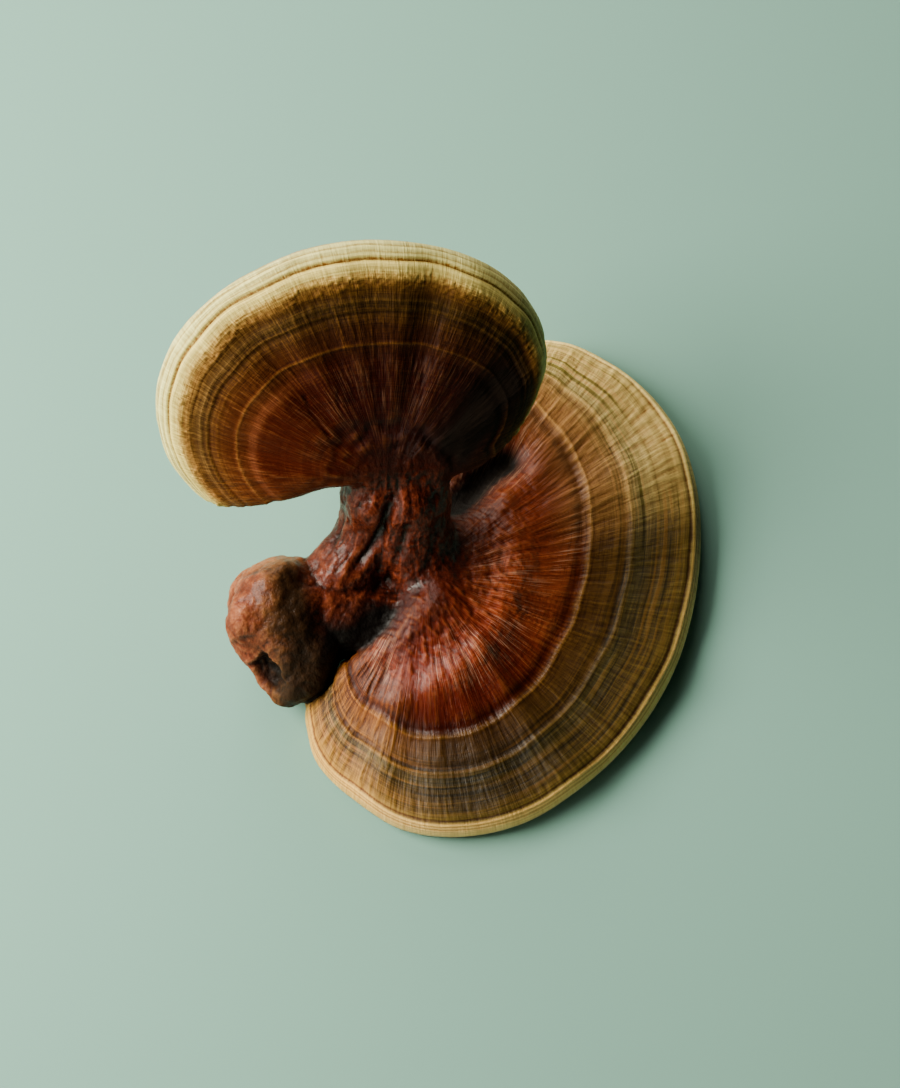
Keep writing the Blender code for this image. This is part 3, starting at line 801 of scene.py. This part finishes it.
class Finish:
    """The node tree of one finish, and what it reads from the skin."""

    def __init__(self, name):
        self.material = bpy.data.materials.new(name)
        self.material.use_nodes = True
        self.nodes = self.material.node_tree.nodes
        self.shader = self.nodes["Principled BSDF"]
        self.place = self.add("ShaderNodeTexCoord", {}, {}).outputs["Object"]
        # The direction from the growth centre, and the growth share.
        self.east, self.north, self.rim, self.growth = self.kept("growth")
        self.under, self.stem, self.hollow = self.kept("skin_part")[:3]
        self.knob, self.wound, self.recess_shade = self.kept("stem_part")[:3]
        self.coarse = self.grown((9.0, 9.0, 5.0), 2, 0.5)
        self.streak = self.grown((56.0, 56.0, 7.0), 3, 0.6)
        self.hair = self.grown((130.0, 130.0, 9.0), 3, 0.65)
        self.lines = self.grown((1.6, 1.6, 85.0), 3, 0.6)
        self.cloud = self.noise(self.place, 55, 2, 0.5)
        # The sides of the near lobe and of the far one.
        towards_near = self.east * -0.82 - self.north * 0.57 + (self.coarse - 0.5) * 0.3
        self.near = self.step(towards_near, 0.55, 0.98)
        self.far = self.towards(0.50, 0.87, 0.70, 0.92)

    def add(self, kind, settings, inputs):
        """A node of a kind, with its settings and the values or links of its sockets."""
        node = self.nodes.new(kind)
        for name, setting in settings.items():
            if name == "stops":
                self.set_stops(node.color_ramp, setting)
            else:
                setattr(node, name, setting)
        self.feed(node, inputs)
        return node

    def set_stops(self, ramp, stops):
        """Colours of a ramp, a list of (place, colour), or its values, a list of (place, value)."""
        while len(ramp.elements) < len(stops):
            ramp.elements.new(1.0)
        for element, (place, shade) in zip(ramp.elements, stops):
            element.position = place
        for element, (place, shade) in zip(ramp.elements, stops):
            element.color = dye(*shade) if isinstance(shade, tuple) else (shade, shade, shade, 1)

    def feed(self, node, inputs):
        """Set or link sockets of a node."""
        for name, value in inputs.items():
            value = value.socket if isinstance(value, Value) else value
            if isinstance(value, bpy.types.NodeSocket):
                self.material.node_tree.links.new(value, node.inputs[name])
            else:
                node.inputs[name].default_value = value

    def kept(self, name):
        """The three values that the skin keeps under a name, and the vector they come from."""
        vector = self.add("ShaderNodeAttribute", {"attribute_name": name}, {}).outputs["Vector"]
        split = self.add("ShaderNodeSeparateXYZ", {}, {0: vector})
        return [Value(self, socket) for socket in split.outputs] + [vector]

    def stretched(self, vector, by):
        """A vector with each part multiplied."""
        return self.add("ShaderNodeVectorMath", {"operation": "MULTIPLY"}, {0: vector, 1: by}).outputs[0]

    def noise(self, vector, scale, detail, roughness):
        """Soft noise from 0 to 1."""
        node = self.add("ShaderNodeTexNoise", {}, {
            "Vector": vector, "Scale": scale, "Detail": detail, "Roughness": roughness})
        return Value(self, node.outputs[0])

    def grown(self, by, detail, roughness):
        """Noise drawn out along the growth of a cap, or round it."""
        return self.noise(self.stretched(self.growth, by), 1.0, detail, roughness)

    def step(self, value, low, high):
        """0 at the low value, 1 at the high one, and smooth between."""
        node = self.add("ShaderNodeMapRange", {"interpolation_type": "SMOOTHSTEP"}, {
            "Value": value, "From Min": low, "From Max": high})
        return Value(self, node.outputs[0])

    def towards(self, east, north, low, high):
        """1 on the side of a cap that lies in a direction, seen from its growth centre."""
        return self.step(self.east * east + self.north * north, low, high)

    def beyond(self, low, high):
        """1 past a growth share."""
        return self.step(self.rim, low, high)

    def band(self, begins, full, fades, ends):
        """1 in a band of growth shares."""
        return self.beyond(begins, full) * (1 - self.beyond(fades, ends))

    def ring(self, at, width, core):
        """1 on a narrow ring at a growth share."""
        return self.step((self.rim - at).size(), width, core)

    def thread(self, value, width):
        """1 on the thin lines where a noise passes its middle."""
        return self.step((value - 0.5).size(), width, 0.0)

    def ramp(self, value, stops):
        """The colour or value that a ramp gives."""
        return self.add("ShaderNodeValToRGB", {"stops": stops}, {0: value}).outputs[0]

    def by_growth(self, stops):
        """The colour or value of a ramp over the growth share, along lines that stray a little."""
        strayed = self.rim + (self.coarse - 0.5) * 0.016 + (self.streak - 0.5) * 0.010
        return self.ramp(strayed * (1 / RIM_SPAN), [(at / RIM_SPAN, shade) for at, shade in stops])

    def mix(self, share, first, second, way="MIX"):
        """A colour with a share of another mixed in, added, or multiplied with it."""
        settings = {"data_type": "RGBA", "blend_type": way}
        return self.add("ShaderNodeMix", settings, {0: share, 6: first, 7: second}).outputs[2]


def dye(red, green, blue):
    """A colour given as it looks on a screen, 0 to 255, as the renderer's light values."""
    def light(part):
        part /= 255
        return part / 12.92 if part <= 0.04045 else ((part + 0.055) / 1.055) ** 2.4
    return (light(red), light(green), light(blue), 1)


def zone_colour(finish, zones, lower, upper):
    """Colour of the growth zones, with painted light on the sides of the caps that face the window light, a
    darker middle to the near lobe, and a more orange front edge to the upper cap.
    """
    zone = finish.by_growth(zones)
    # Painted light: the red zone right of the neck is lightened, though the neck shades it.
    right_side_light = finish.towards(0.87, 0.50, 0.30, 0.95) * finish.band(0.12, 0.40, 0.56, 0.64)
    zone = finish.mix(right_side_light * lower, zone, dye(108, 60, 30), "ADD")
    # Painted light: the near lobe, which faces the window light, is lightened.
    near_lobe_light = finish.near * finish.band(0.30, 0.50, 0.56, 0.66)
    zone = finish.mix(near_lobe_light * lower, zone, dye(84, 58, 22), "ADD")
    inner = finish.near * (1 - finish.beyond(0.28, 0.44))
    zone = finish.mix(inner * lower, zone, dye(144, 112, 82), "MULTIPLY")
    # Painted light: the far lobe is lightened and yellowed where the light falls on it.
    zone = finish.mix(finish.far * finish.beyond(0.44, 0.62) * lower, zone, dye(126, 104, 62), "ADD")
    zone = finish.mix(finish.far * finish.beyond(0.68, 0.86) * lower, zone, dye(156, 160, 100), "ADD")
    # Painted light: the upper cap's left side, which faces the window light, is lightened, with a lighter
    # ring.
    left = finish.towards(-1.0, 0.0, 0.40, 0.92) * finish.band(0.10, 0.30, 0.74, 0.86)
    zone = finish.mix(left * upper, zone, dye(66, 31, 12), "ADD")
    zone = finish.mix(left * finish.ring(0.59, 0.06, 0.03) * upper, zone, dye(84, 52, 30), "ADD")
    front = finish.towards(-1.0, 0.0, 0.90, 0.99) * finish.towards(0.0, -1.0, -0.25, 0.0)
    return finish.mix(front * upper, zone, dye(90, 42, 16), "ADD")


def streaked(finish, colour, lower, upper):
    """The fine streaks, hairs and growth lines of the crust, the creases between them, and painted shade in
    the skin's hollows.
    """
    streak, hair, lines, cloud = finish.streak, finish.hair, finish.lines, finish.cloud
    # Painted shade: the skin's hollows darken the crust along with its streaks.
    shade = (streak - 0.5) * 0.6 + (hair - 0.5) * 1.1 + (cloud - 0.5) * 0.5 - (finish.hollow - 0.5)
    shade = shade + (lines - 0.5) * (finish.beyond(0.66, 0.80) * 0.5 + 0.4 * upper)
    colour = finish.mix((0.5 - shade * 0.9).clamped(), colour, dye(132, 92, 56), "MULTIPLY")
    colour = finish.mix((shade * 0.28).clamped(), colour, dye(212, 146, 80))
    crease = finish.thread(streak, 0.045) * 0.6 + finish.thread(hair, 0.05) * 0.45
    crease = crease * (0.25 + cloud) * (1 - finish.beyond(0.90, 0.96) * 0.8)
    crease = crease * (1 - (1 - finish.near) * (0.4 * lower))
    crease = crease + finish.thread(lines, 0.05) * finish.step(cloud, 0.35, 0.6) * 0.5
    crease = crease * (1 + finish.near * finish.band(0.34, 0.50, 0.78, 0.90) * lower)
    return finish.mix(crease.clamped(), colour, dye(134, 106, 72), "MULTIPLY")


def sided(finish, colour, lower, upper):
    """Woven rings, and the tints of single sides: gold on the near lobe, a darker bottom band, painted
    shade on the lower cap's side turned away from the light, painted light on its front and bottom-right
    rims, and a darker top to the upper cap.
    """
    gold = finish.near * finish.beyond(0.20, 0.36) * (1 - finish.ring(0.80, 0.05, 0.02) * 0.7)
    colour = finish.mix(gold * lower, colour, dye(255, 234, 172), "MULTIPLY")
    woven = finish.band(0.64, 0.78, 0.93, 0.96) * finish.step(finish.cloud, 0.25, 0.55) * lower
    tan_line = finish.step(finish.lines, 0.52, 0.66) * 0.5
    colour = finish.mix(woven * tan_line, colour, dye(184, 118, 58))
    olive_line = finish.step(finish.lines, 0.50, 0.36)
    colour = finish.mix(woven * olive_line, colour, dye(150, 152, 96), "MULTIPLY")
    bottom = finish.towards(0.17, -0.98, 0.80, 0.96) * finish.band(0.50, 0.60, 0.92, 0.96)
    colour = finish.mix(bottom * lower, colour, dye(215, 208, 168), "MULTIPLY")
    # Painted light: the front rim, turned away from the light, is lightened.
    front_rim_light = finish.towards(0.50, -0.87, 0.10, 0.60) * finish.beyond(0.974, 0.990)
    # Painted shade: the lower cap's side turned away from the window light is darker and greener.
    away = finish.towards(0.90, -0.436, 0.10, 0.60) * finish.beyond(0.57, 0.66)
    away = away * (1 - front_rim_light) * (1 - finish.far)
    colour = finish.mix(away * lower, colour, dye(134, 138, 102), "MULTIPLY")
    colour = finish.mix(front_rim_light * lower, colour, dye(130, 94, 46), "ADD")
    # Painted light: the bottom-right rim, which faces away from the light, is lightened.
    edge = finish.towards(0.80, -0.60, 0.60, 0.95) * finish.beyond(0.976, 0.992)
    colour = finish.mix(edge * lower, colour, dye(150, 116, 62), "ADD")
    top = finish.towards(0.40, 1.0, 0.30, 0.95) * (1 - finish.beyond(0.86, 0.92))
    return finish.mix(top * upper, colour, dye(196, 188, 156), "MULTIPLY")


def recess_shade_and_sheen(finish, colour, lower):
    """Painted shade in the hollow behind the neck, and a painted pale sheen, standing in for the light's
    reflection, on the lacquer's hairs.
    """
    # Painted shade: the hollow behind the neck is darkened almost to black.
    colour = finish.mix((finish.recess_shade * 1.3).clamped(), colour, dye(16, 8, 3))
    # Painted sheen: pale streaks on the hairs of the lacquer where the light would glint.
    hair_sheen = finish.step(finish.hair * 0.65 + finish.streak * 0.35, 0.50, 0.64)
    hair_sheen = hair_sheen * finish.step(finish.cloud, 0.40, 0.60)
    reached = finish.rim - finish.towards(0.50, 0.87, 0.40, 0.90) * 0.12
    hair_sheen = hair_sheen * finish.beyond(0.18, 0.28) * (1 - finish.step(reached, 0.42, 0.56))
    hair_sheen = hair_sheen * (1 - finish.recess_shade)
    return finish.mix(hair_sheen * (0.08 + 0.58 * lower), colour, dye(200, 158, 128))


def pore_colour(finish):
    """Colour of the cream pore surface, and how far each place is from the middle of a pore."""
    cloud = finish.noise(finish.place, 90, 3, 0.55)
    rings = finish.grown((1.2, 1.2, 26.0), 2, 0.5)
    cream = finish.ramp((cloud * 0.7 + rings * 0.5 - 0.1).clamped(), [
        (0.0, (112, 78, 48)), (0.4, (168, 132, 92)), (0.65, (206, 178, 138)), (1.0, (226, 206, 172))])
    cells = finish.add("ShaderNodeTexVoronoi", {}, {"Vector": finish.place, "Scale": 2400.0})
    pore = Value(finish, cells.outputs["Distance"])
    return finish.mix(((0.35 - pore) * 1.1).clamped(), cream, dye(92, 62, 40)), pore


def stem_colours(finish):
    """Colour of the wet mahogany stem and of its duller knob and its fibres, with painted light on the left
    sides of the neck and knob and the knob's top edge, and painted shade on the knob's right side, in the
    hollows and where the stem is tucked in.
    """
    blotch = finish.noise(finish.place, 160, 3, 0.6)
    fibre = finish.noise(finish.stretched(finish.place, (1.0, 1.0, 0.35)), 900, 3, 0.65)
    # Painted shade: the stem's hollows darken its tone.
    tone = (blotch * 0.6 + fibre * 0.6 - finish.hollow * 0.5 + 0.12).clamped()
    wet = finish.ramp(tone, [(0.0, (7, 3, 1)), (0.25, (24, 8, 3)), (0.5, (62, 20, 9)),
                             (0.72, (104, 42, 22)), (1.0, (160, 88, 56))])
    lit_neck_red = finish.ramp(tone, [(0.0, (12, 4, 2)), (0.25, (40, 13, 6)), (0.5, (82, 31, 16)),
                              (0.75, (130, 64, 38)), (1.0, (196, 128, 90))])
    dull = finish.ramp(tone, [(0.0, (10, 6, 2)), (0.28, (34, 18, 6)), (0.5, (76, 42, 18)),
                              (0.72, (116, 72, 36)), (1.0, (158, 112, 66))])
    lit_knob_pink = finish.ramp(tone, [(0.0, (22, 8, 3)), (0.28, (66, 26, 12)), (0.5, (108, 50, 28)),
                              (0.8, (160, 96, 60)), (1.0, (200, 148, 104))])
    across, away, up = finish.add("ShaderNodeSeparateXYZ", {}, {0: finish.place}).outputs
    side = Value(finish, across) + (blotch - 0.5) * 0.014
    # Painted light: the neck's left side is given a lighter, redder ramp.
    wet = finish.mix(finish.step(side, -0.0115, -0.0195) * 0.75, wet, lit_neck_red)
    # Painted light: the knob's lit left side is given a pinker, lighter ramp.
    dull = finish.mix(finish.step(side, -0.0355, -0.0435), dull, lit_knob_pink)
    # Painted shade: the knob's right side, away from the light, is painted near black.
    dull = finish.mix(finish.step(side, -0.0385, -0.0325) * 0.85, dull, dye(20, 13, 5))
    # Painted light: the knob's top edge is given a warm rim of light.
    knob_rim_light = finish.step(Value(finish, away) + (fibre - 0.5) * 0.004, -0.0075, -0.0015)
    dull = finish.mix(knob_rim_light * 0.35, dull, dye(200, 124, 66))
    # Painted shade: where the stem is tucked in low at the front, it is painted near black.
    tucked_shade = finish.step(Value(finish, away) + (blotch - 0.5) * 0.006, -0.0095, -0.0125)
    tucked_shade = tucked_shade * finish.step(Value(finish, up), 0.0235, 0.0195)
    wet = finish.mix(tucked_shade, wet, dye(8, 4, 2))
    colour = finish.mix(finish.knob, wet, dull)
    return finish.mix(finish.wound, colour, dye(12, 9, 6)), fibre, tucked_shade


def crust(name, zones, gloss, shine, lower, upper):
    """Finish of one piece: the crust of a cap, with the stem's colours where that joins it."""
    finish = Finish(name)
    stem = finish.stem
    cap = 1 - stem
    cream, pore = pore_colour(finish)
    stem_colour, fibre, tucked_shade = stem_colours(finish)
    porous = finish.under * cap
    colour = zone_colour(finish, zones, lower, upper)
    colour = streaked(finish, colour, lower, upper)
    colour = sided(finish, colour, lower, upper)
    colour = recess_shade_and_sheen(finish, colour, lower)
    colour = finish.mix(stem, colour, stem_colour)
    colour = finish.mix(porous, colour, cream)
    coat = Value(finish, finish.by_growth(gloss)) * cap * (1 - finish.near * (0.6 * lower))
    coat = coat + stem * (0.9 - finish.knob * 0.3) * (1 - finish.wound) * (1 - tucked_shade * 0.9)
    coat = coat * (1 - porous) * (1 - finish.recess_shade * 0.9) * (0.8 + (finish.streak - 0.5) * 0.6)
    rough = 0.62 - coat * 0.44 + finish.recess_shade * 0.35 + (finish.hair - 0.5) * 0.16
    high = finish.streak * 0.5 + finish.hair * 0.5 + finish.lines * 0.35 * finish.beyond(0.66, 0.80)
    heart = (1 - finish.beyond(0.10, 0.30)) * cap
    high = high * cap * (1 - porous) + fibre * (stem + heart) * 1.3 + (0.5 - pore) * porous * 0.8
    bumped = finish.add("ShaderNodeBump", {}, {"Height": high, "Distance": 0.00028, "Strength": 1.0})
    finish.feed(finish.shader, {
        "Base Color": colour, "Roughness": rough.clamped(), "Normal": bumped.outputs[0],
        "Coat Weight": (coat * (0.12 + stem * 0.26)).clamped(), "Coat Roughness": 0.20,
        "Coat IOR": 1.33, "IOR": 1.45, "Specular IOR Level": shine})
    return finish.material


LOWER_ZONES = (                           # growth share, colour there
    (0.00, (100, 34, 11)), (0.20, (132, 46, 16)), (0.40, (150, 50, 18)), (0.50, (114, 34, 10)),
    (0.598, (94, 28, 7)), (0.620, (114, 52, 15)), (0.632, (176, 122, 60)), (0.644, (164, 106, 48)),
    (0.70, (172, 118, 56)), (0.755, (152, 110, 54)), (0.772, (186, 142, 76)), (0.79, (146, 128, 78)),
    (0.86, (168, 132, 68)), (0.93, (188, 150, 76)), (0.960, (200, 160, 82)), (0.969, (150, 98, 44)),
    (0.976, (220, 184, 104)), (0.992, (226, 192, 112)), (0.999, (176, 124, 62)), (1.006, (232, 204, 128)),
    (1.020, (184, 134, 70)), (1.030, (234, 208, 134)), (1.12, (216, 184, 114)),
)
LOWER_GLOSS = (                           # growth share, how wet the lacquer is
    (0.0, 1.0), (0.45, 1.0), (0.60, 0.9), (0.66, 0.5), (0.78, 0.35), (0.90, 0.2), (0.98, 0.12),
    (1.12, 0.05),
)
UPPER_ZONES = (
    (0.00, (58, 15, 4)), (0.30, (80, 21, 5)), (0.45, (84, 24, 6)), (0.56, (80, 28, 7)),
    (0.60, (92, 42, 10)), (0.622, (92, 46, 12)), (0.634, (120, 74, 28)), (0.646, (90, 45, 11)),
    (0.70, (90, 50, 13)), (0.75, (92, 62, 18)), (0.775, (106, 78, 30)), (0.79, (84, 62, 22)),
    (0.806, (104, 80, 36)), (0.83, (112, 82, 34)), (0.855, (146, 106, 48)), (0.88, (166, 126, 60)),
    (0.910, (212, 182, 96)), (0.930, (242, 226, 128)), (0.955, (242, 226, 128)), (0.966, (222, 202, 110)),
    (0.973, (140, 110, 46)), (0.980, (230, 216, 122)), (1.002, (240, 238, 150)), (1.008, (190, 168, 88)),
    (1.014, (240, 238, 150)), (1.034, (240, 238, 152)), (1.040, (200, 180, 100)), (1.046, (242, 240, 158)),
    (1.12, (236, 224, 140)),
)
UPPER_GLOSS = ((0.0, 0.9), (0.40, 0.7), (0.58, 0.4), (0.66, 0.22), (0.80, 0.12), (0.95, 0.08), (1.12, 0.04))

lower_piece.data.materials.append(crust("lower_cap_crust", LOWER_ZONES, LOWER_GLOSS, 0.30, 1.0, 0.0))
upper_piece.data.materials.append(crust("upper_cap_crust", UPPER_ZONES, UPPER_GLOSS, 0.10, 0.0, 1.0))
stem_piece.data.materials.append(crust("stem_lacquer", LOWER_ZONES, LOWER_GLOSS, 0.14, 0.0, 0.0))


# Floor, light and camera
# A plain pale table top, a soft window light at the left, a wider one behind, and a weak one
# low in front on the left. The camera looks down on the mushroom as it lies.
FLOOR_COLOUR = (0.185, 0.365, 0.30, 1)
ROOM_COLOUR = (0.70, 0.85, 0.78, 1)
ROOM_LIGHT = 0.03
AIM = Vector((0.00252, 0.01045, 0.0))     # where the camera looks, in metres
CAMERA_AWAY = 0.68
CAMERA_HIGH = 68.0                        # degrees above level
FOCAL_LENGTH = 97.83

bpy.ops.object.select_all(action="DESELECT")
bpy.ops.mesh.primitive_plane_add(size=6, location=(0, 0, 0))
floor = bpy.context.object
floor.name = "floor"
paper = bpy.data.materials.new("paper")
paper.use_nodes = True
paper.node_tree.nodes["Principled BSDF"].inputs["Base Color"].default_value = FLOOR_COLOUR
paper.node_tree.nodes["Principled BSDF"].inputs["Roughness"].default_value = 0.9
floor.data.materials.append(paper)


def soft_light(name, place, size, power, colour):
    """A square light aimed at the mushroom."""
    lamp = bpy.data.lights.new(name, "AREA")
    lamp.shape = "SQUARE"
    lamp.size = size
    lamp.energy = power
    lamp.color = colour
    holder = bpy.data.objects.new(name, lamp)
    holder.location = place
    holder.rotation_euler = (-Vector(place)).to_track_quat("-Z", "Y").to_euler()
    bpy.context.scene.collection.objects.link(holder)


soft_light("window", (-0.43, 0.03, 0.35), 0.36, 10.0, (1.0, 0.97, 0.84))
soft_light("back", (-0.22, 0.62, 0.42), 0.5, 5.0, (1.0, 0.96, 0.82))
soft_light("front", (-0.50, -0.50, 0.10), 0.4, 2.2, (1.0, 0.93, 0.76))
world = bpy.data.worlds.new("room")
world.use_nodes = True
world.node_tree.nodes["Background"].inputs["Color"].default_value = ROOM_COLOUR
world.node_tree.nodes["Background"].inputs["Strength"].default_value = ROOM_LIGHT
bpy.context.scene.world = world

lens = bpy.data.cameras.new("camera")
lens.sensor_fit = "VERTICAL"
lens.sensor_height = 36
lens.lens = FOCAL_LENGTH
camera = bpy.data.objects.new("camera", lens)
tilt = math.radians(CAMERA_HIGH)
camera.location = AIM + CAMERA_AWAY * Vector((0, -math.cos(tilt), math.sin(tilt)))
camera.rotation_euler = (math.pi / 2 - tilt, 0, 0)
bpy.context.scene.collection.objects.link(camera)
bpy.context.scene.camera = camera
